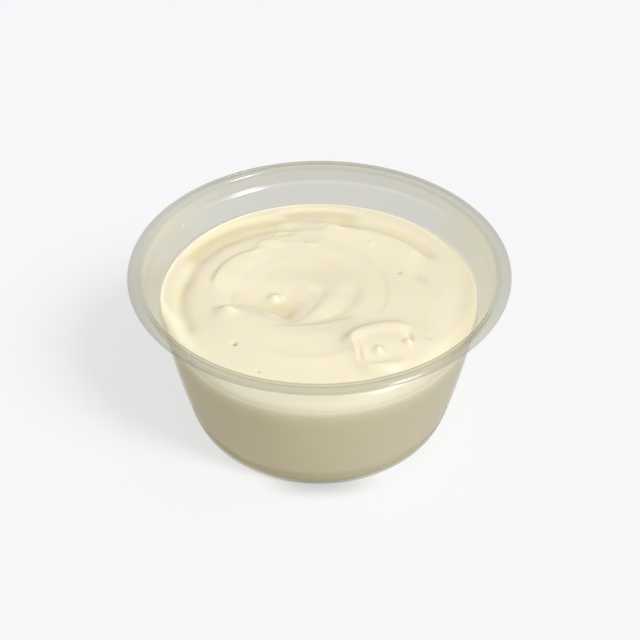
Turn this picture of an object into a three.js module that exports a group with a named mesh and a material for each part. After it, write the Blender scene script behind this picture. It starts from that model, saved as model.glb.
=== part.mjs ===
// A clear portion cup filled with smooth tofu cream, standing on its foot ring.
// Millimetres, +Z up, origin on the cup's axis at the level that it stands on.
import * as THREE from 'three';

// The cup is formed from one thin sheet. Its radii and heights are those of the
// middle of the sheet, apart from the rim's radius and the height over all.
const cup = {
  sheet: 0.5,
  rimRadius: 37,
  height: 35.7,
  segments: 64,
  footRecess: 1.2,
  footRampRadius: 21.4,
  footInnerRadius: 22.8,
  footOuterRadius: 24,
  heelCurveRadius: 25.75,
  heelRadius: 26.7,
  heelHeight: 3.4,
  grooveRadius: 26.55,
  grooveHeight: 4.3,
  wallStartRadius: 27.2,
  wallStartHeight: 5.1,
  wallBellyRadius: 29.65,
  wallBellyHeight: 15.8,
  wallEndRadius: 31.1,
  wallEndHeight: 27,
  kinkRadius: 31.25,
  kinkHeight: 27.95,
  flareStartRadius: 31.75,
  flareStartHeight: 28.85,
  flareEndRadius: 33.35,
  flareEndHeight: 31.6,
  ledgeCurveRadius: 33.5,
  ledgeCurveHeight: 31.9,
  ledgeInnerRadius: 33.7,
  ledgeInnerHeight: 32.1,
  ledgeOuterRadius: 33.95,
  ledgeOuterHeight: 32.3,
  collarCurveRadius: 34.1,
  collarCurveHeight: 32.45,
  collarStartRadius: 34.15,
  collarStartHeight: 32.75,
  collarEndRadius: 34.5,
  collarDrop: 0.75,
  flangeInnerRadius: 35.2,
  flangeOuterRadius: 36.35,
  lipDrop: 0.5,
};

// The cream keeps a little clear of the sheet. Its edge is level at the back right,
// climbs a little at the back left and sags at the front. Directions are in degrees.
const cream = {
  gap: 0.35,
  fillHeight: 28.1,
  brinkHeight: 23.2,
  sideRings: 6,
  climb: 0.6,
  climbTowards: 155,
  climbPower: 3,
  climbWidth: 1.3,
  sag: 3.9,
  sagTowards: 275,
  sagPower: 0.7,
  sagWidth: 4.5,
  rings: 27,
  strokeFade: 2.6,
};

// Marks that the spoon left. Each is an arc about a centre, over a span of degrees,
// that rises or sinks by its height. The two falls are how far that reaches towards
// the centre and away from it.
const strokes = [
  { name: 'left moat', at: [-8.1, -0.9], radius: 19.6, span: [163, 207], height: -0.8, falls: [1.3, 1] },
  { name: 'outer moat', at: [-4.9, 0.1], radius: 22.8, span: [94, 177], height: -0.45, falls: [1.5, 1.3] },
  { name: 'outer streak', at: [-8, 3.4], radius: 22.8, span: [93, 146], height: -0.97, falls: [3.9, 2.4] },
  { name: 'back moat', at: [-1.1, 4.5], radius: 24.1, span: [74, 102], height: -0.67, falls: [3.7, 0.7] },
  { name: 'right moat', at: [1.7, 0.7], radius: 23.9, span: [33, 80], height: -0.65, falls: [1.4, 1.9] },
  { name: 'right bank', at: [2.7, -1.4], radius: 22.8, span: [43, 91], height: 0.48, falls: [3.5, 0.6] },
  { name: 'left bank', at: [-6.8, 2.8], radius: 17.2, span: [134, 194], height: 0.12, falls: [1.6, 1.1] },
  { name: 'mound edge', at: [-9.4, 2.6], radius: 11.3, span: [113, 165], height: 0.57, falls: [4.6, 0.5] },
  { name: 'mound tail', at: [-10, 14.6], radius: 2.6, span: [92, 167], height: 0.32, falls: [2.2, 1] },
  { name: 'swirl heart', at: [-7, -1.2], radius: 1.2, span: [269, 375], height: -0.38, falls: [1.6, 3.6] },
  { name: 'trough', at: [-13.4, 3.2], radius: 14.1, span: [308, 344], height: -0.55, falls: [4.6, 1.3] },
  { name: 'trough run', at: [-19.8, -29.3], radius: 26.5, span: [61, 84], height: -1.28, falls: [2.1, 4.8] },
  { name: 'second turn', at: [-3.1, 0.7], radius: 9.7, span: [278, 350], height: -0.4, falls: [3.2, 1.7] },
  { name: 'second run', at: [-7.8, 26.2], radius: 36.8, span: [273, 289], height: -0.35, falls: [2.5, 0.6] },
  { name: 'third turn', at: [-5.6, 1], radius: 18.7, span: [344, 436], height: -0.17, falls: [2, 0.7] },
  { name: 'lobe edge', at: [14.1, -20.6], radius: 9.7, span: [87, 151], height: 0.8, falls: [2.1, 1.3] },
  { name: 'lobe front', at: [10.9, -16.7], radius: 6.4, span: [250, 299], height: 0.8, falls: [3, 0.8] },
  { name: 'inner arc', at: [-2.5, 2.1], radius: 16, span: [198, 297], height: 0.5, falls: [5.2, 3.6] },
  { name: 'outer arc', at: [-0.8, -1.1], radius: 19.7, span: [204, 300], height: 0.32, falls: [1.8, 2.2] },
];

// Rounded swellings and dimples, spread along the direction that turn gives and across it.
const swellings = [
  { name: 'crown', at: [-3.8, -4.7], spread: [20.4, 18.8], turn: 4, height: 0.7 },
  { name: 'lip at the left', at: [-17.7, -6.4], spread: [1.8, 1.1], turn: -8, height: 1.1 },
  { name: 'dip at the back', at: [-0.1, 6.5], spread: [11.2, 6.5], turn: -2, height: -0.75 },
  { name: 'bump at the back', at: [2, 22.6], spread: [3, 1.1], turn: -16, height: 0.8 },
  { name: 'lobe', at: [10.5, -16.3], spread: [10.3, 4.3], turn: 6, height: 1 },
  { name: 'dimple in the lobe', at: [16.8, -14], spread: [0.7, 1.4], turn: 6, height: -0.95 },
];

// One stretch of an outline: a quadratic bend, without its first point.
function bend(from, control, to, steps) {
  const curve = new THREE.QuadraticBezierCurve(
    new THREE.Vector2(...from),
    new THREE.Vector2(...control),
    new THREE.Vector2(...to),
  );
  return curve.getPoints(steps).slice(1);
}

function rightOf(from, to) {
  const along = to.clone().sub(from).normalize();
  return new THREE.Vector2(along.y, -along.x);
}

// The same outline moved sideways by a constant distance, with mitred corners.
function offsetLine(line, distance) {
  const last = line.length - 1;
  return line.map((point, i) => {
    const before = rightOf(line[Math.max(i, 1) - 1], line[Math.max(i, 1)]);
    const after = rightOf(line[Math.min(i, last - 1)], line[Math.min(i, last - 1) + 1]);
    const mitre = before.clone().add(after).divideScalar(1 + before.dot(after));
    return point.clone().addScaledVector(mitre, distance);
  });
}

// Middle of the sheet, from the axis of the base out and up to the lip.
function sheetLine() {
  const half = cup.sheet / 2;
  const plate = cup.footRecess + half;
  const flange = cup.height - half;
  const lipRadius = cup.rimRadius - half;
  const heelStart = [cup.footOuterRadius, half];
  const heel = [cup.heelRadius, cup.heelHeight];
  const wallStart = [cup.wallStartRadius, cup.wallStartHeight];
  const belly = [cup.wallBellyRadius, cup.wallBellyHeight];
  const wallEnd = [cup.wallEndRadius, cup.wallEndHeight];
  const flareStart = [cup.flareStartRadius, cup.flareStartHeight];
  const flareEnd = [cup.flareEndRadius, cup.flareEndHeight];
  const ledgeCurve = [cup.ledgeCurveRadius, cup.ledgeCurveHeight];
  const ledgeInner = [cup.ledgeInnerRadius, cup.ledgeInnerHeight];
  const ledgeOuter = [cup.ledgeOuterRadius, cup.ledgeOuterHeight];
  const collarCurve = [cup.collarCurveRadius, cup.collarCurveHeight];
  const collarStart = [cup.collarStartRadius, cup.collarStartHeight];
  const collarEnd = [cup.collarEndRadius, flange - cup.collarDrop];
  const flangeInner = [cup.flangeInnerRadius, flange];
  const flangeOuter = [cup.flangeOuterRadius, flange];
  return [
    new THREE.Vector2(0, plate),
    new THREE.Vector2(cup.footRampRadius, plate),
    new THREE.Vector2(cup.footInnerRadius, half),
    new THREE.Vector2(...heelStart),
    ...bend(heelStart, [cup.heelCurveRadius, half], heel, 3),
    ...bend(heel, [cup.grooveRadius, cup.grooveHeight], wallStart, 2),
    ...bend(wallStart, belly, wallEnd, 5),
    ...bend(wallEnd, [cup.kinkRadius, cup.kinkHeight], flareStart, 2),
    new THREE.Vector2(...flareEnd),
    ...bend(flareEnd, ledgeCurve, ledgeInner, 2),
    new THREE.Vector2(...ledgeOuter),
    ...bend(ledgeOuter, collarCurve, collarStart, 2),
    new THREE.Vector2(...collarEnd),
    ...bend(collarEnd, [cup.collarEndRadius, flange], flangeInner, 2),
    new THREE.Vector2(...flangeOuter),
    ...bend(flangeOuter, [lipRadius, flange], [lipRadius, flange - cup.lipDrop], 2),
  ];
}

// A lathe turns about Y, so the result is stood up to turn about Z.
function lathe(profile) {
  return new THREE.LatheGeometry(profile, cup.segments).rotateX(Math.PI / 2);
}

function cupGeometry(line) {
  const outside = offsetLine(line, cup.sheet / 2);
  const inside = offsetLine(line, -cup.sheet / 2);
  return lathe([...outside, ...inside.reverse()]);
}

function strokeRelief(stroke, x, y) {
  const aside = x - stroke.at[0];
  const ahead = y - stroke.at[1];
  const [start, end] = stroke.span;
  const across = Math.hypot(aside, ahead) - stroke.radius;
  const fall = across < 0 ? stroke.falls[0] : stroke.falls[1];
  const degrees = THREE.MathUtils.radToDeg(Math.atan2(ahead, aside));
  const turned = THREE.MathUtils.euclideanModulo(degrees - start, 360);
  const length = end - start;
  const beyond = turned <= length ? 0 : Math.min(turned - length, 360 - turned);
  const past = THREE.MathUtils.degToRad(beyond) * stroke.radius;
  return stroke.height * Math.exp(-((across / fall) ** 2) - (past / cream.strokeFade) ** 2);
}

function swellingRelief(swelling, x, y) {
  const turn = THREE.MathUtils.degToRad(swelling.turn);
  const aside = x - swelling.at[0];
  const ahead = y - swelling.at[1];
  const along = (aside * Math.cos(turn) + ahead * Math.sin(turn)) / swelling.spread[0];
  const across = (ahead * Math.cos(turn) - aside * Math.sin(turn)) / swelling.spread[1];
  return swelling.height * Math.exp(-(along ** 2) - across ** 2);
}

// What the spoon's marks add to the fill level.
function relief(x, y) {
  return strokes.reduce((sum, stroke) => sum + strokeRelief(stroke, x, y), 0)
    + swellings.reduce((sum, swelling) => sum + swellingRelief(swelling, x, y), 0);
}

function radiusAt(outline, height) {
  const above = outline.findIndex((point) => point.y > height && point.x > cup.heelRadius);
  const low = outline[above - 1];
  const share = (height - low.y) / (outline[above].y - low.y);
  return low.clone().lerp(outline[above], share).x;
}

// How near a direction is to the one that degrees gives: 1 along it, 0 from a right angle on.
function nearness(angle, degrees) {
  return Math.max(0, Math.cos(angle - THREE.MathUtils.degToRad(degrees)));
}

// Where the cream's edge meets the bed in one direction, and how far in from it the top bends.
function edgeOf(bed, angle) {
  const climbing = nearness(angle, cream.climbTowards) ** cream.climbPower;
  const sagging = nearness(angle, cream.sagTowards) ** cream.sagPower;
  const height = cream.fillHeight + climbing * cream.climb - sagging * cream.sag;
  const width = THREE.MathUtils.lerp(cream.climbWidth, cream.sagWidth, sagging);
  return { radius: radiusAt(bed, height), height, width };
}

// The cream's side and bottom follow the inside of the cup up to its edge.
function creamGeometry(line) {
  const bed = offsetLine(line, -(cup.sheet / 2 + cream.gap));
  const brinkRadius = radiusAt(bed, cream.brinkHeight);
  const toFill = cream.fillHeight - cream.brinkHeight;
  const outline = bed.filter((point) => point.y < cream.brinkHeight);
  for (let ring = 0; ring < cream.sideRings; ring += 1) {
    const height = cream.brinkHeight + (toFill * ring) / cream.sideRings;
    outline.push(new THREE.Vector2(brinkRadius, height));
  }
  for (let ring = 0; ring <= cream.rings; ring += 1) {
    const reach = brinkRadius * (1 - ring / cream.rings);
    outline.push(new THREE.Vector2(reach, cream.fillHeight));
  }
  const geometry = lathe(outline);
  const position = geometry.attributes.position;
  for (let i = 0; i < position.count; i += 1) {
    const angle = Math.atan2(position.getY(i), position.getX(i));
    const edge = edgeOf(bed, angle);
    let reach = Math.hypot(position.getX(i), position.getY(i));
    let height = position.getZ(i);
    if (height > cream.fillHeight - 0.01) {
      reach *= edge.radius / brinkRadius;
      const inwards = THREE.MathUtils.clamp((edge.radius - reach) / edge.width, 0, 1);
      const rounded = Math.sqrt(1 - (1 - inwards) ** 2);
      const marked = relief(reach * Math.cos(angle), reach * Math.sin(angle));
      height = THREE.MathUtils.lerp(edge.height, cream.fillHeight + marked, rounded);
    } else if (height > cream.brinkHeight) {
      const share = (height - cream.brinkHeight) / toFill;
      height = THREE.MathUtils.lerp(cream.brinkHeight, edge.height, share);
      reach = radiusAt(bed, height);
    }
    position.setXYZ(i, reach * Math.cos(angle), reach * Math.sin(angle), height);
  }
  return geometry;
}

const clearPlastic = new THREE.MeshStandardMaterial({
  color: 0xe2e3dc,
  roughness: 0.12,
  metalness: 0,
  transparent: true,
  opacity: 0.35,
});

const tofuCream = new THREE.MeshStandardMaterial({
  color: 0xf7ecca,
  roughness: 0.4,
  metalness: 0,
});

const line = sheetLine();

const portionCup = new THREE.Mesh(cupGeometry(line), clearPlastic);
portionCup.name = 'portion_cup';

const creamFill = new THREE.Mesh(creamGeometry(line), tofuCream);
creamFill.name = 'tofu_cream';

const bowlOfTofuCream = new THREE.Group();
bowlOfTofuCream.add(portionCup, creamFill);

export default bowlOfTofuCream;
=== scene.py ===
import math

import bmesh
import bpy
from mathutils import Matrix, Vector, noise


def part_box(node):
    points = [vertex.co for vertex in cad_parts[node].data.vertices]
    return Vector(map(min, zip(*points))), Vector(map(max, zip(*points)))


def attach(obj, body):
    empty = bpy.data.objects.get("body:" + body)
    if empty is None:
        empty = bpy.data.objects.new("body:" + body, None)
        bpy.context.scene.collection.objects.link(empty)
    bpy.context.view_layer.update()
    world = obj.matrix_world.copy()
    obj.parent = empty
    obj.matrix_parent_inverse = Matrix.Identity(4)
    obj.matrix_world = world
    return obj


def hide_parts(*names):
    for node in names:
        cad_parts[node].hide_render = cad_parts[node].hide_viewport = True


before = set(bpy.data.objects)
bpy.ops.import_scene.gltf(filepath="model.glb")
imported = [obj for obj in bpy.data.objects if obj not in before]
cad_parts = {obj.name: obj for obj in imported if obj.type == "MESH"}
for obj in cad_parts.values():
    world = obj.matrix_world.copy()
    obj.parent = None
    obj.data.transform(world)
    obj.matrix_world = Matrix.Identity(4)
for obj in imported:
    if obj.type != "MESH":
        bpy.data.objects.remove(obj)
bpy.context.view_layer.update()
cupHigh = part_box("portion_cup")[1]
mm = 0.001  # the dictionaries give lengths in millimetres
print("frame loaded:", sorted(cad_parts))

view = {
    "distance": 240.5,
    "elevation": 39.6,
    "aimX": 0.09,
    "aimHeight": 21.1,
    "roll": -0.2,
    "lens": 67.2,
}

light = {
    "skyColour": (0.97, 0.98, 1.0),
    "skyStrength": 0.25,
    "overheadStrength": 1.24,
    "overheadAngle": 100,
    "keyStrength": 1.75,
    "keyAngle": 14,
    "keyAzimuth": 36,
    "keyElevation": 42,
}


def placeCamera():
    up = math.radians(view["elevation"])
    aim = Vector((view["aimX"], 0, view["aimHeight"])) * mm
    back = Vector((0, -math.cos(up), math.sin(up)))
    lensData = bpy.data.cameras.new("camera")
    lensData.lens = view["lens"]
    lensData.clip_start = 0.01
    camera = bpy.data.objects.new("camera", lensData)
    camera.location = aim + back * view["distance"] * mm
    turn = (-back).to_track_quat("-Z", "Y").to_matrix()
    tilt = Matrix.Rotation(math.radians(view["roll"]), 3, "Z")
    camera.rotation_euler = (turn @ tilt).to_euler()
    bpy.context.scene.collection.objects.link(camera)
    bpy.context.scene.camera = camera


def sunLamp(name, strength, angle, azimuth, elevation):
    data = bpy.data.lights.new(name, "SUN")
    data.energy = strength
    data.angle = math.radians(angle)
    lamp = bpy.data.objects.new(name, data)
    side, up = math.radians(azimuth), math.radians(elevation)
    towards = Vector((math.cos(side) * math.cos(up), -math.sin(side) * math.cos(up), math.sin(up)))
    lamp.rotation_euler = towards.to_track_quat("Z", "Y").to_euler()
    bpy.context.scene.collection.objects.link(lamp)
    return lamp


def lightScene():
    scene = bpy.context.scene
    scene.view_settings.view_transform = "Standard"
    scene.world = bpy.data.worlds.new("studio")
    scene.world.use_nodes = True
    sky = scene.world.node_tree.nodes["Background"]
    sky.inputs["Color"].default_value = (*light["skyColour"], 1)
    sky.inputs["Strength"].default_value = light["skyStrength"]
    sunLamp("key", light["keyStrength"], light["keyAngle"], light["keyAzimuth"], light["keyElevation"])
    return sunLamp("overhead", light["overheadStrength"], light["overheadAngle"], 0, 90)


def lightOnly(lamp, pieces):  # the floor glows instead, so that the cup hardly dims it
    lit = bpy.data.collections.new("under the " + lamp.name)
    for piece in pieces:
        lit.objects.link(piece)
    lamp.light_linking.receiver_collection = lit


class Wire:
    def __init__(self, finish, socket):
        self.finish = finish
        self.socket = socket

    def __add__(self, other):
        return self.finish.maths("ADD", self, other)

    def __sub__(self, other):
        return self.finish.maths("SUBTRACT", self, other)

    def __rsub__(self, other):
        return self.finish.maths("SUBTRACT", other, self)

    def __mul__(self, other):
        return self.finish.maths("MULTIPLY", self, other)

    def __truediv__(self, other):
        return self.finish.maths("DIVIDE", self, other)

    def __pow__(self, other):
        return self.finish.maths("POWER", self, other)

    __radd__ = __add__
    __rmul__ = __mul__


class Finish:
    def __init__(self, name):
        self.material = bpy.data.materials.new(name)
        self.material.use_nodes = True
        self.tree = self.material.node_tree
        self.tree.nodes.clear()

    def node(self, kind, settings=None, inputs=None, output=0):
        made = self.tree.nodes.new(kind)
        for key, value in (settings or {}).items():
            setattr(made, key, value)
        for key, value in (inputs or {}).items():
            if isinstance(value, Wire):
                self.tree.links.new(value.socket, made.inputs[key])
            else:
                made.inputs[key].default_value = value
        return Wire(self, made.outputs[output])

    def maths(self, operation, a, b):
        return self.node("ShaderNodeMath", {"operation": operation}, {0: a, 1: b})

    def clamp(self, value):
        return self.node("ShaderNodeClamp", {}, {"Value": value})

    def rise(self, value, low, high):  # 0 below low, 1 above high
        return self.node(
            "ShaderNodeMapRange",
            {"interpolation_type": "SMOOTHSTEP"},
            {"Value": value, "From Min": low, "From Max": high},
        )

    def place(self):
        return self.node("ShaderNodeTexCoord", output="Object")

    def parts(self, vector):
        split = self.node("ShaderNodeSeparateXYZ", {}, {"Vector": vector}).socket.node
        return [Wire(self, socket) for socket in split.outputs]

    def grain(self, vector, scale, detail=2.0):
        return self.node("ShaderNodeTexNoise", {}, {"Vector": vector, "Scale": scale, "Detail": detail})

    def mixColour(self, share, a, b):
        a, b = [(*c, 1) if isinstance(c, tuple) else c for c in (a, b)]
        return self.node("ShaderNodeMix", {"data_type": "RGBA"}, {0: share, 6: a, 7: b}, output=2)

    def mixShader(self, share, a, b):
        return self.node("ShaderNodeMixShader", {}, {0: share, 1: a, 2: b})

    def bump(self, height, strength, distance):
        values = {"Height": height, "Strength": strength, "Distance": distance}
        return self.node("ShaderNodeBump", {}, values)

    def clear(self, colour):
        return self.node("ShaderNodeBsdfTransparent", {}, {"Color": (*colour, 1)})

    def surface(self, shader):
        output = self.tree.nodes.new("ShaderNodeOutputMaterial")
        self.tree.links.new(shader.socket, output.inputs["Surface"])
        return self.material


def bend(start, control, end, steps):
    a, b, c = Vector(start), Vector(control), Vector(end)
    shares = [i / steps for i in range(1, steps + 1)]
    return [a * (1 - t) ** 2 + b * 2 * t * (1 - t) + c * t * t for t in shares]


def rightOf(a, b):
    along = (b - a).normalized()
    return Vector((along.y, -along.x))


def offsetLine(line, distance):
    last = len(line) - 1
    moved = []
    for i, point in enumerate(line):
        before = rightOf(line[max(i, 1) - 1], line[max(i, 1)])
        after = rightOf(line[min(i, last - 1)], line[min(i, last - 1) + 1])
        moved.append(point + (before + after) / (1 + before.dot(after)) * distance)
    return moved


def spun(line, steps):
    shape = bmesh.new()
    verts = [shape.verts.new((point.x * mm, 0, point.y * mm)) for point in line]
    edges = [shape.edges.new(pair) for pair in zip(verts, verts[1:])]
    bmesh.ops.spin(
        shape,
        geom=verts + edges,
        cent=(0, 0, 0),
        axis=(0, 0, 1),
        angle=math.tau,
        steps=steps,
        use_merge=True,
    )
    bmesh.ops.remove_doubles(shape, verts=shape.verts, dist=1e-6)
    bmesh.ops.recalc_face_normals(shape, faces=shape.faces)
    return shape


def finishedPiece(name, shape, material, replaced):
    for face in shape.faces:
        face.smooth = True
    mesh = bpy.data.meshes.new(name)
    shape.to_mesh(mesh)
    shape.free()
    mesh.materials.append(material)
    piece = bpy.data.objects.new(name, mesh)
    bpy.context.scene.collection.objects.link(piece)
    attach(piece, "root")
    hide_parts(replaced)
    return piece


cup = {
    "sheet": 0.5,
    "rimRadius": 37,
    "height": cupHigh.z / mm,
    "segments": 192,
    "footRecess": 1.2,
    "footRampRadius": 21.4,
    "footInnerRadius": 22.8,
    "footCorner": 0.4,
    "footOuterRadius": 24.0,
    "heelCurveRadius": 25.75,
    "heelRadius": 26.7,
    "heelHeight": 3.4,
    "grooveRadius": 26.55,
    "grooveHeight": 4.3,
    "wallStartRadius": 27.2,
    "wallStartHeight": 5.1,
    "wallBellyRadius": 29.65,
    "wallBellyHeight": 15.8,
    "wallEndRadius": 31.1,
    "wallEndHeight": 27,
    "kinkRadius": 31.25,
    "kinkHeight": 27.95,
    "flareStartRadius": 31.75,
    "flareStartHeight": 28.85,
    "flareEndRadius": 33.35,
    "flareEndHeight": 31.6,
    "ledgeCurveRadius": 33.5,
    "ledgeCurveHeight": 31.9,
    "ledgeInnerRadius": 33.7,
    "ledgeInnerHeight": 32.1,
    "ledgeOuterRadius": 33.95,
    "ledgeOuterHeight": 32.3,
    "collarCurveRadius": 34.1,
    "collarCurveHeight": 32.45,
    "collarStartRadius": 34.15,
    "collarStartHeight": 32.75,
    "collarEndRadius": 34.5,
    "collarDrop": 0.75,
    "flangeInnerRadius": 35.2,
    "flangeOuterRadius": 36.35,
    "lipDrop": 0.5,
    "lipRound": 0.16,
    "lipSegments": 3,
    "lipAngle": 60,
}

cupLook = {
    "pale": (0.97, 0.97, 0.96),
    "dark": (0.42, 0.4, 0.25),
    # painted reflection of the cream on the side walls
    "creamReflectionTint": (0.86, 0.82, 0.66),
    "nearShadow": (0.97, 0.97, 0.96),
    "farShadow": (0.84, 0.84, 0.84),
    "farStart": 12,
    "farEnd": 25,
    # painted shade: how dense the film grows towards the back
    "filmAndBackShade": 0.2,
    "backShadeStart": -34,
    "backShadeEnd": -8,
    "leftClear": 0.9,
    "rightClear": 0.5,
    "creamReflectionAmount": 0.5,
    "sideStart": 18,
    "sideEnd": 33,
    "heelShade": 0.2,
    "heelStart": 3.7,
    "heelEnd": 4.6,
    "wallStart": 27,
    "wallEnd": 29,
    "collarBackShade": 1.4,
    "collarStart": 32.2,
    "collarEnd": 32.8,
    "flangeBackShade": 0.3,
    "flangeShade": 0.28,
    "flangeStart": 34.3,
    "flangeEnd": 35.1,
    "lowEdge": 0.4,
    "wallEdge": 0.03,
    "flangeEdge": 0.55,
    "edgePower": 4,
    "haze": 0.03,
    "flangeHaze": 0.1,
    "hazeColour": (0.88, 0.87, 0.8),
    "gloss": 0.045,
    "grazingGloss": 0.3,
    "grazingPower": 5,
    "roughness": 0.16,
}


def sheetLine():
    half = cup["sheet"] / 2
    plate = cup["footRecess"] + half
    flange = cup["height"] - half
    lip = cup["rimRadius"] - half
    corner = cup["footCorner"]
    rampTop = (cup["footRampRadius"] - corner, plate)
    rampMiddle = ((cup["footRampRadius"] + cup["footInnerRadius"]) / 2, (plate + half) / 2)
    heelStart = (cup["footOuterRadius"], half)
    heel = (cup["heelRadius"], cup["heelHeight"])
    wallStart = (cup["wallStartRadius"], cup["wallStartHeight"])
    wallEnd = (cup["wallEndRadius"], cup["wallEndHeight"])
    flareStart = (cup["flareStartRadius"], cup["flareStartHeight"])
    flareEnd = (cup["flareEndRadius"], cup["flareEndHeight"])
    ledgeInner = (cup["ledgeInnerRadius"], cup["ledgeInnerHeight"])
    ledgeOuter = (cup["ledgeOuterRadius"], cup["ledgeOuterHeight"])
    collarStart = (cup["collarStartRadius"], cup["collarStartHeight"])
    collarEnd = (cup["collarEndRadius"], flange - cup["collarDrop"])
    flangeInner = (cup["flangeInnerRadius"], flange)
    flangeOuter = (cup["flangeOuterRadius"], flange)
    return [
        Vector((0, plate)),
        Vector((cup["footRampRadius"] / 2, plate)),
        Vector(rampTop),
        *bend(rampTop, (cup["footRampRadius"], plate), rampMiddle, steps=4),
        *bend(rampMiddle, (cup["footInnerRadius"], half), (cup["footInnerRadius"] + corner, half), steps=4),
        Vector(heelStart),
        *bend(heelStart, (cup["heelCurveRadius"], half), heel, steps=8),
        *bend(heel, (cup["grooveRadius"], cup["grooveHeight"]), wallStart, steps=6),
        *bend(wallStart, (cup["wallBellyRadius"], cup["wallBellyHeight"]), wallEnd, steps=16),
        *bend(wallEnd, (cup["kinkRadius"], cup["kinkHeight"]), flareStart, steps=6),
        Vector(flareEnd),
        *bend(flareEnd, (cup["ledgeCurveRadius"], cup["ledgeCurveHeight"]), ledgeInner, steps=5),
        Vector(ledgeOuter),
        *bend(ledgeOuter, (cup["collarCurveRadius"], cup["collarCurveHeight"]), collarStart, steps=5),
        Vector(collarEnd),
        *bend(collarEnd, (cup["collarEndRadius"], flange), flangeInner, steps=7),
        Vector(flangeOuter),
        *bend(flangeOuter, (lip, flange), (lip, flange - cup["lipDrop"]), steps=6),
    ]


# The sheet shows as a grey film on the collar, flange and heel, and where it turns away. Painted shade
# makes the film denser at the back and fainter at the sides. At the sides its wall is tinted with a painted
# reflection of the cream. Its shadow is fainter on what is close to it than further off.
def clearPlastic():
    finish = Finish("clear plastic")
    across, ahead, up = finish.parts(finish.place())
    facing = finish.node("ShaderNodeLayerWeight", {}, {"Blend": 0.5}, output="Facing")
    away = facing ** cupLook["edgePower"]
    heel = 1 - finish.rise(up, cupLook["heelStart"] * mm, cupLook["heelEnd"] * mm)
    wall = finish.rise(up, cupLook["wallStart"] * mm, cupLook["wallEnd"] * mm)
    flange = finish.rise(up, cupLook["flangeStart"] * mm, cupLook["flangeEnd"] * mm)
    collar = finish.rise(up, cupLook["collarStart"] * mm, cupLook["collarEnd"] * mm)
    left = finish.rise(across, -cupLook["sideStart"] * mm, -cupLook["sideEnd"] * mm)
    right = finish.rise(across, cupLook["sideStart"] * mm, cupLook["sideEnd"] * mm)
    # painted shade: the film is denser towards the back and on the collar, and fainter at the sides
    filmAndBackShade = finish.rise(ahead, cupLook["backShadeStart"] * mm, cupLook["backShadeEnd"] * mm) * cupLook["filmAndBackShade"]
    filmAndBackShade = filmAndBackShade * (1 - left * cupLook["leftClear"] - right * cupLook["rightClear"])
    filmAndBackShade = filmAndBackShade * (1 + collar * (cupLook["collarBackShade"] - 1)) * (1 - flange * (1 - cupLook["flangeBackShade"]))
    filmAndBackShade = filmAndBackShade + flange * cupLook["flangeShade"] + heel * cupLook["heelShade"]
    edge = wall * (cupLook["wallEdge"] - cupLook["lowEdge"]) + cupLook["lowEdge"]
    edge = edge + flange * (cupLook["flangeEdge"] - cupLook["wallEdge"])
    # painted reflection: at the sides the wall above the cream takes the cream's colour
    pale, creamReflection = finish.clear(cupLook["pale"]), finish.clear(cupLook["creamReflectionTint"])
    creamReflectionShare = (left + right) * wall * (1 - flange) * cupLook["creamReflectionAmount"]
    sheet = finish.mixShader(creamReflectionShare, pale, creamReflection)
    sheet = finish.mixShader(finish.clamp(filmAndBackShade + away * edge), sheet, finish.clear(cupLook["dark"]))
    haze = finish.node("ShaderNodeBsdfDiffuse", {}, {"Color": (*cupLook["hazeColour"], 1)})
    hazy = flange * (cupLook["flangeHaze"] - cupLook["haze"]) + cupLook["haze"]
    sheet = finish.mixShader(hazy, sheet, haze)
    gloss = finish.node(
        "ShaderNodeBsdfAnisotropic",
        {},
        {"Color": (1, 1, 1, 1), "Roughness": cupLook["roughness"]},
    )
    shine = facing ** cupLook["grazingPower"] * cupLook["grazingGloss"] + cupLook["gloss"]
    seen = finish.mixShader(shine, sheet, gloss)
    far = finish.node("ShaderNodeLightPath", output="Ray Length")
    far = finish.rise(far, cupLook["farStart"] * mm, cupLook["farEnd"] * mm)
    shadow = finish.mixShader(far, finish.clear(cupLook["nearShadow"]), finish.clear(cupLook["farShadow"]))
    shadowRay = finish.node("ShaderNodeLightPath", output="Is Shadow Ray")
    return finish.surface(finish.mixShader(shadowRay, seen, shadow))


def makeCup(line):
    shape = spun(line, cup["segments"])
    piece = finishedPiece("clearCup", shape, clearPlastic(), "portion_cup")
    wall = piece.modifiers.new("sheet", "SOLIDIFY")
    wall.thickness = cup["sheet"] * mm
    wall.offset = 0
    wall.use_even_offset = True
    lip = piece.modifiers.new("rounded lip", "BEVEL")
    lip.width = cup["lipRound"] * mm
    lip.segments = cup["lipSegments"]
    lip.limit_method = "ANGLE"
    lip.angle_limit = math.radians(cup["lipAngle"])
    return piece


cream = {
    "intoWall": 0.12,
    "fillHeight": 28.1,
    "brinkHeight": 23.6,
    "sideRings": 14,
    "climb": 0.6,
    "climbTowards": 155,
    "climbPower": 3,
    "climbWidth": 1.3,
    "ragged": 0.3,
    "raggedScale": 35,
    "raggedSeed": 0.3,
    "sag": 3.9,
    "sagTowards": 275,
    "sagStart": -0.1,
    "sagWidth": 4.5,
    "dryStrip": 0.2,
    "dryFade": 5,
    # painted shade: how far the band at the right edge reaches
    "rightShadeStrip": 1.4,
    "rightShadeTowards": -8,
    "rightShadePower": 6,
    "rings": 120,
    "segments": 512,
    "topMargin": 0.01,
    "markReach": 3,
    "strokeFade": 2.6,
    "poreShade": 5,
    "flow": 0.05,
    "flowX": -3,
    "flowScale": 0.6,
}

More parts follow.
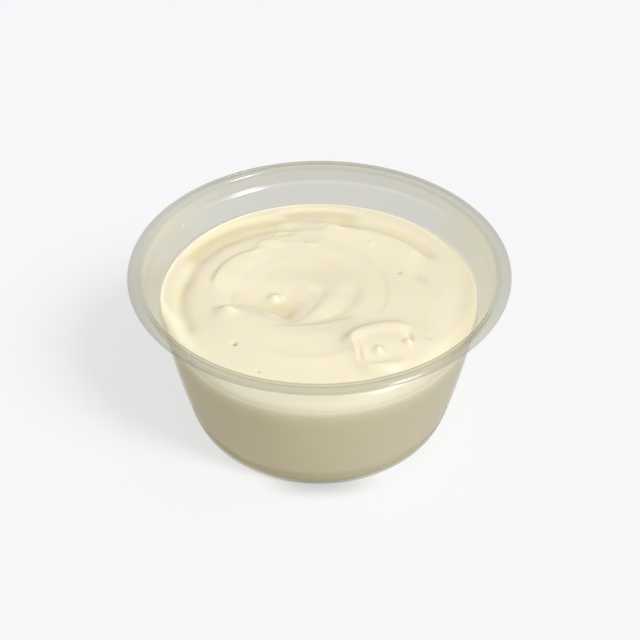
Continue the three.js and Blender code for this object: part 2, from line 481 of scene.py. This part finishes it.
# x, y, radius, from and to in degrees, height, fall inwards, fall outwards
strokes = {
    "left moat": (-8.1, -0.9, 19.2, 170, 207, -0.75, 1.4, 1.0),
    "back left moat": (-4.9, 0.1, 22.2, 94, 165, -0.45, 1.6, 1.3),
    "outer streak": (-6.0, 2.6, 22.9, 101, 152, -0.80, 3.6, 1.3),
    "streak in the moat": (-2.7, 1.6, 25.0, 104, 137, 0.05, 0.5, 0.7),
    "back moat": (-1.1, 4.5, 24.1, 74, 102, -0.67, 3.7, 0.7),
    "back right moat": (1.7, 0.7, 23.9, 33, 80, -0.65, 1.4, 1.9),
    "back right bank": (2.7, -1.4, 22.8, 43, 91, 0.48, 3.5, 0.6),
    "left bank": (-6.8, 2.8, 17.2, 134, 194, 0.12, 1.6, 1.1),
    "mound edge": (-9.4, 2.6, 11.3, 113, 165, 0.57, 4.6, 0.8),
    "mound tail": (-10.0, 14.6, 2.6, 92, 167, 0.32, 2.2, 1.0),
    "heart of the swirl": (-7.0, -1.2, 1.2, 269, 375, -0.32, 1.6, 3.6),
    "trough": (-13.4, 3.2, 14.1, 308, 344, -0.42, 4.6, 1.3),
    "trough start": (-19.8, -29.3, 26.5, 61, 84, -1.20, 2.4, 4.8),
    "second turn": (-3.1, 0.7, 9.7, 278, 350, -0.40, 3.2, 1.7),
    "second turn start": (-7.8, 26.2, 36.8, 273, 289, -0.35, 2.5, 0.6),
    "third turn": (-5.6, 1.0, 18.7, 344, 436, -0.17, 2.0, 0.7),
    "lobe edge": (14.1, -20.6, 9.7, 87, 146, 0.80, 2.1, 1.3),
    "lobe front": (10.9, -16.7, 6.4, 255, 299, 0.60, 3.0, 1.0),
    "first fold of the lobe": (10.5, -17.8, 4.8, 144, 239, 0.20, 0.5, 0.8),
    "second fold of the lobe": (10.4, -17.7, 2.8, 150, 240, 0.02, 0.5, 0.6),
    "inner front arc": (-2.5, 2.1, 16.0, 198, 297, 0.50, 5.2, 3.6),
    "outer front arc": (-0.8, -1.1, 19.7, 204, 300, 0.32, 1.8, 2.2),
}

# x, y, spread along, spread across, turn in degrees, height
swellings = {
    "crown": (-3.8, -4.7, 20.4, 18.8, 4, 0.70),
    "lip of the mound": (-8.9, -1.6, 1.2, 1.0, 0, 1.05),
    "lip at the left": (-17.7, -6.4, 1.8, 1.1, -8, 1.10),
    "dip at the back": (-0.1, 6.5, 11.2, 6.5, -2, -0.75),
    "pit behind the mound": (-8.0, 20.1, 1.8, 0.6, 0, -0.80),
    "bump at the back": (2.0, 22.6, 3.0, 1.1, -16, 0.80),
    "small bump at the back": (-1.8, 16.2, 1.5, 0.7, -2, 0.30),
    "small bump at the right": (10.8, 16.3, 0.7, 0.7, 0, 0.18),
    "patch at the right": (20.0, 5.2, 1.0, 2.9, 32, -0.50),
    "lobe": (10.5, -16.3, 10.3, 4.3, 6, 1.00),
    "bump in the lobe": (10.9, -18.8, 0.9, 0.8, 0, 0.90),
    "dimple in the lobe": (16.8, -14.0, 0.7, 1.4, 6, -0.95),
    "lip of the dimple": (16.6, -16.2, 0.8, 0.8, 0, 0.90),
    "left side of the fold": (6.6, -18.4, 0.5, 2.0, 12, 0.60),
    "right side of the fold": (8.2, -19.6, 0.5, 1.6, 12, 0.60),
    "front lip of the lobe": (11.3, -22.6, 2.6, 0.8, 10, 0.50),
}

# x, y, radius, depth
pores = {
    "pore at the left": (-15.9, -16.0, 0.4, 0.6),
    "pore at the front": (-11.1, -23.4, 0.28, 0.38),
    "pore at the right": (16.2, 6.3, 0.4, 0.34),
    "pore by the lobe": (21.0, -14.2, 0.5, 0.2),
}

# a spot of cream on the wall above the edge
speck = {"x": -28.15, "y": 17.55, "z": 31.9, "radius": 0.33, "subdivisions": 2}

creamLook = {
    "colour": (0.905, 0.822, 0.628),
    "warmColour": (0.92, 0.837, 0.634),
    "cloudScale": 60,
    "cloudStart": 0.35,
    "cloudEnd": 0.65,
    "fineDetail": 3,
    # painted shade in the marks
    "troughShadeColour": (0.775, 0.705, 0.445),
    "troughShadeStart": 0.0,
    "troughShadeEnd": 1.1,
    # painted shade in the pores
    "poreShadeColour": (0.4, 0.34, 0.18),
    "poreShadeStart": 1.2,
    "poreShadeEnd": 2.6,
    # painted light: the paler colour and glow of the shoulder along the edge
    "shoulderLightColour": (0.93, 0.88, 0.72),
    "shoulderLightShare": 0.5,
    "shoulderStart": -4.5,
    "shoulderEnd": -1.5,
    "shoulderPaintedGlow": 0.7,
    "rightFade": 0.85,
    "rightFadeStart": 16,
    "rightFadeEnd": 28,
    "sideStart": -2.2,
    "sideEnd": 0.9,
    # painted shade: the side's colours, darker than the top
    "leftShadedColour": (0.59, 0.505, 0.262),
    "rightShadedColour": (0.595, 0.53, 0.365),
    "leftEnd": -30,
    "rightEnd": 32,
    "noGlow": (0.0, 0.0, 0.0),
    # painted light: the colour the cream glows with near its edge
    "glow": (0.17, 0.165, 0.15),
    "paintedGlowDepth": 5,
    "paintedGlowPower": 2.5,
    "roughness": 0.2,
    "satinScale": 200,
    "satinRange": 0.08,
    "sideRoughness": 0.4,
    "bumpScale": 900,
    "bumpStrength": 0.15,
    "bumpHeight": 0.1,
    "topScatter": 1.1,
    "sideScatter": 5,
    "scatterRadius": (1.0, 0.85, 0.6),
}


def strokeRelief(stroke, x, y):
    centreX, centreY, radius, start, end, height, inside, outside = stroke
    across = math.hypot(x - centreX, y - centreY) - radius
    fall = inside if across < 0 else outside
    if abs(across) > cream["markReach"] * fall:
        return 0
    turned = (math.degrees(math.atan2(y - centreY, x - centreX)) - start) % 360
    length = end - start
    beyond = 0 if turned <= length else min(turned - length, 360 - turned)
    past = math.radians(beyond) * radius
    return height * math.exp(-((across / fall) ** 2) - (past / cream["strokeFade"]) ** 2)


def swellingRelief(swelling, x, y):
    centreX, centreY, long, wide, turn, height = swelling
    if math.hypot(x - centreX, y - centreY) > cream["markReach"] * max(long, wide):
        return 0
    angle = math.radians(turn)
    along = (x - centreX) * math.cos(angle) + (y - centreY) * math.sin(angle)
    aside = (y - centreY) * math.cos(angle) - (x - centreX) * math.sin(angle)
    return height * math.exp(-((along / long) ** 2) - (aside / wide) ** 2)


def relief(x, y):
    marked = sum(strokeRelief(stroke, x, y) for stroke in strokes.values())
    marked += sum(swellingRelief(swelling, x, y) for swelling in swellings.values())
    marked += sum(swellingRelief((x0, y0, r, r, 0, -depth), x, y) for x0, y0, r, depth in pores.values())
    across = x - cream["flowX"]
    reach = math.hypot(across, y)
    angle = math.atan2(y, across)
    flow = noise.noise(Vector((reach * cream["flowScale"], math.sin(angle), math.cos(angle))))
    return marked + cream["flow"] * flow


def poreShade(x, y):
    near = [((x - pore[0]) ** 2 + (y - pore[1]) ** 2) / pore[2] ** 2 for pore in pores.values()]
    shades = [pore[3] * math.exp(-distance) for pore, distance in zip(pores.values(), near)]
    return cream["poreShade"] * sum(shades)


# The cream dries on the wall in a ragged line at the back left and sags away from it at the front. The
# strip of painted light and shade along the edge is narrow where it is dry and wider where it sags. A
# painted shade band at the right makes it widest there.
def edgeOf(bed, angle):
    climbing = max(0, math.cos(angle - math.radians(cream["climbTowards"]))) ** cream["climbPower"]
    towards = math.cos(angle - math.radians(cream["sagTowards"]))
    sagging = min(1, max(0, (towards - cream["sagStart"]) / (1 - cream["sagStart"])))
    sagging = sagging * sagging * (3 - 2 * sagging)
    way = Vector((math.cos(angle), math.sin(angle), cream["raggedSeed"]))
    jag = noise.noise(way * cream["raggedScale"])
    rise = climbing * (cream["climb"] + cream["ragged"] * jag) - sagging * cream["sag"]
    width = cream["climbWidth"] + (cream["sagWidth"] - cream["climbWidth"]) * sagging
    height = cream["fillHeight"] + rise
    # painted shade: at the right the side's shaded colour reaches further onto the top
    rightShade = max(0, math.cos(angle - math.radians(cream["rightShadeTowards"]))) ** cream["rightShadePower"]
    strip = cream["dryStrip"] + (1 - cream["dryStrip"]) * min(1, sagging * cream["dryFade"])
    return radiusAt(bed, height), height, width, strip + cream["rightShadeStrip"] * rightShade


def radiusAt(line, height):
    above = next(i for i, p in enumerate(line) if p.y > height and p.x > cup["heelRadius"])
    low, high = line[above - 1], line[above]
    return low.lerp(high, (height - low.y) / (high.y - low.y)).x


# Two layers guide the finish and its painted light and shade. pastEdge is how far a point lies down the
# side from the edge; it places the painted shade of the side and the painted light on the shoulder. On the
# top it is less than 0, and it falls faster where the strip is narrow. sunk is how far the spoon's marks go
# under the level, and more in a pore; it places the painted shade in the marks and pores.
def creamShape(line):
    bed = offsetLine(line, cream["intoWall"] - cup["sheet"] / 2)
    brink, fill = cream["brinkHeight"], cream["fillHeight"]
    brinkRadius = radiusAt(bed, brink)
    steps = cream["sideRings"]
    bottom = [p for p in bed if p.y < brink or p.x < cup["heelRadius"]]
    sides = [Vector((brinkRadius, brink + (fill - brink) * i / steps)) for i in range(steps)]
    top = [Vector((brinkRadius * (1 - i / cream["rings"]), fill)) for i in range(cream["rings"] + 1)]
    shape = spun(bottom + sides + top, cream["segments"])
    pastEdge = shape.verts.layers.float.new("pastEdge")
    sunk = shape.verts.layers.float.new("sunk")
    for vert in shape.verts:
        angle = math.atan2(vert.co.y, vert.co.x)
        radius, height, width, strip = edgeOf(bed, angle)
        reach, z = math.hypot(vert.co.x, vert.co.y) / mm, vert.co.z / mm
        if z > fill - cream["topMargin"]:
            reach *= radius / brinkRadius
            inwards = max(0, min(1, (radius - reach) / width))
            rounded = math.sqrt(1 - (1 - inwards) ** 2)
            marked = relief(reach * math.cos(angle), reach * math.sin(angle))
            z = height + (fill + marked - height) * rounded
            vert[pastEdge] = -math.hypot(radius - reach, z - height) / strip
            vert[sunk] = -marked + poreShade(reach * math.cos(angle), reach * math.sin(angle))
        elif z > brink:
            z = brink + (height - brink) * (z - brink) / (fill - brink)
            reach = radiusAt(bed, z)
            vert[pastEdge] = height - z
        else:
            vert[pastEdge] = height - z
        vert.co = Vector((reach * math.cos(angle), reach * math.sin(angle), z)) * mm
    subdivisions, radius = speck["subdivisions"], speck["radius"] * mm
    spot = bmesh.ops.create_icosphere(shape, subdivisions=subdivisions, radius=radius)
    place = Vector((speck["x"], speck["y"], speck["z"])) * mm
    bmesh.ops.translate(shape, verts=spot["verts"], vec=place)
    return shape


def creamBody(finish, colour, roughness, normal, scatter, glow):
    return finish.node(
        "ShaderNodeBsdfPrincipled",
        {"subsurface_method": "RANDOM_WALK"},
        {
            "Base Color": colour,
            "Roughness": roughness,
            "Subsurface Weight": 1.0,
            "Subsurface Radius": creamLook["scatterRadius"],
            "Subsurface Scale": scatter * mm,
            "Emission Color": glow,
            "Emission Strength": 1.0,
            "Normal": normal,
        },
    )


# The top is ivory, with painted shade in the marks and pores and painted light and glow on the shoulder
# along the edge. The side is painted darker as shade, more so at the left, and glows near the top as
# painted light.
def tofuCream():
    finish = Finish("tofu cream")
    place = finish.place()
    across = finish.parts(place)[0]
    past = finish.node("ShaderNodeAttribute", {"attribute_name": "pastEdge"}, output="Fac")
    onSide = finish.rise(past, creamLook["sideStart"], creamLook["sideEnd"])
    cloud = finish.grain(place, creamLook["cloudScale"], creamLook["fineDetail"])
    cloud = finish.rise(cloud, creamLook["cloudStart"], creamLook["cloudEnd"])
    colour = finish.mixColour(cloud, creamLook["colour"], creamLook["warmColour"])
    sunk = finish.node("ShaderNodeAttribute", {"attribute_name": "sunk"}, output="Fac")
    # painted shade: darker, yellower colour where the marks go under the level
    troughShade = finish.rise(sunk, creamLook["troughShadeStart"], creamLook["troughShadeEnd"])
    colour = finish.mixColour(troughShade, colour, creamLook["troughShadeColour"])
    # painted shade: the pores are painted dark
    pore = finish.rise(sunk, creamLook["poreShadeStart"], creamLook["poreShadeEnd"])
    colour = finish.mixColour(pore, colour, creamLook["poreShadeColour"])
    # painted light: the shoulder along the edge is paler and glows, less at the right
    shoulderLight = finish.rise(past, creamLook["shoulderStart"], creamLook["shoulderEnd"])
    right = finish.rise(across, creamLook["rightFadeStart"] * mm, creamLook["rightFadeEnd"] * mm)
    shoulderLight = shoulderLight * (1 - right * creamLook["rightFade"])
    colour = finish.mixColour(shoulderLight * creamLook["shoulderLightShare"], colour, creamLook["shoulderLightColour"])
    # painted shade: the side is a darker copy of the cream, darker at the left
    sideways = finish.rise(across, creamLook["leftEnd"] * mm, creamLook["rightEnd"] * mm)
    shadedSideColour = finish.mixColour(sideways, creamLook["leftShadedColour"], creamLook["rightShadedColour"])
    satin = finish.grain(place, creamLook["satinScale"])
    roughness = satin * creamLook["satinRange"] + creamLook["roughness"]
    fine = finish.grain(place, creamLook["bumpScale"], creamLook["fineDetail"])
    normal = finish.bump(fine, creamLook["bumpStrength"], creamLook["bumpHeight"] * mm)
    # painted light: the side glows, most near the top edge
    through = (1 - finish.clamp(past / creamLook["paintedGlowDepth"])) ** creamLook["paintedGlowPower"]
    sidePaintedGlow = finish.mixColour(through, creamLook["noGlow"], creamLook["glow"])
    topPaintedGlow = finish.mixColour(shoulderLight * creamLook["shoulderPaintedGlow"], creamLook["noGlow"], creamLook["glow"])
    top = creamBody(finish, colour, roughness, normal, creamLook["topScatter"], topPaintedGlow)
    side = creamBody(
        finish, shadedSideColour, creamLook["sideRoughness"], normal, creamLook["sideScatter"], sidePaintedGlow
    )
    return finish.surface(finish.mixShader(onSide, top, side))


def makeCream(line):
    return finishedPiece("creamFill", creamShape(line), tofuCream(), "tofu_cream")


floorLook = {
    "halfWidth": 3000,
    "colour": (0.435, 0.437, 0.44),
    "glow": (0.657, 0.662, 0.674),
    # painted shade near the cup and painted contact shadow in front of the foot
    "nearShadeGlow": (0.637, 0.642, 0.654),
    "nearStart": 28,
    "nearEnd": 55,
    "contactShadowGlow": (0.35, 0.353, 0.36),
    "contactAhead": -24.5,
    "contactStretch": 2.6,
    "contactStart": 0.5,
    "contactEnd": 5.4,
    "roughness": 0.75,
}


# The floor glows evenly. By the cup painted shade makes it dimmer, and a painted contact shadow dims it
# in front of its foot.
def makeFloor():
    finish = Finish("pale floor")
    across, ahead = finish.parts(finish.place())[:2]
    reach = (across * across + ahead * ahead) ** 0.5
    # painted shade: the floor is dimmer near the cup
    unshaded = finish.rise(reach, floorLook["nearStart"] * mm, floorLook["nearEnd"] * mm)
    glow = finish.mixColour(unshaded, floorLook["nearShadeGlow"], floorLook["glow"])
    # painted contact shadow in front of the foot
    sideways, forward = across / floorLook["contactStretch"], ahead - floorLook["contactAhead"] * mm
    reach = (sideways * sideways + forward * forward) ** 0.5
    clear = finish.rise(reach, floorLook["contactStart"] * mm, floorLook["contactEnd"] * mm)
    glow = finish.mixColour(clear, floorLook["contactShadowGlow"], glow)
    surface = finish.node(
        "ShaderNodeBsdfPrincipled",
        {},
        {
            "Base Color": (*floorLook["colour"], 1),
            "Roughness": floorLook["roughness"],
            "Specular IOR Level": 0.0,
            "Emission Color": glow,
            "Emission Strength": 1.0,
        },
    )
    shape = bmesh.new()
    bmesh.ops.create_grid(shape, x_segments=1, y_segments=1, size=floorLook["halfWidth"] * mm)
    mesh = bpy.data.meshes.new("floor")
    shape.to_mesh(mesh)
    shape.free()
    mesh.materials.append(finish.surface(surface))
    floor = bpy.data.objects.new("floor", mesh)
    bpy.context.scene.collection.objects.link(floor)


placeCamera()
overhead = lightScene()
makeFloor()
print("camera, light and floor are in place")
line = sheetLine()
clearCup = makeCup(line)
print("cup made")
creamFill = makeCream(line)
print("cream made")
lightOnly(overhead, [clearCup, creamFill])
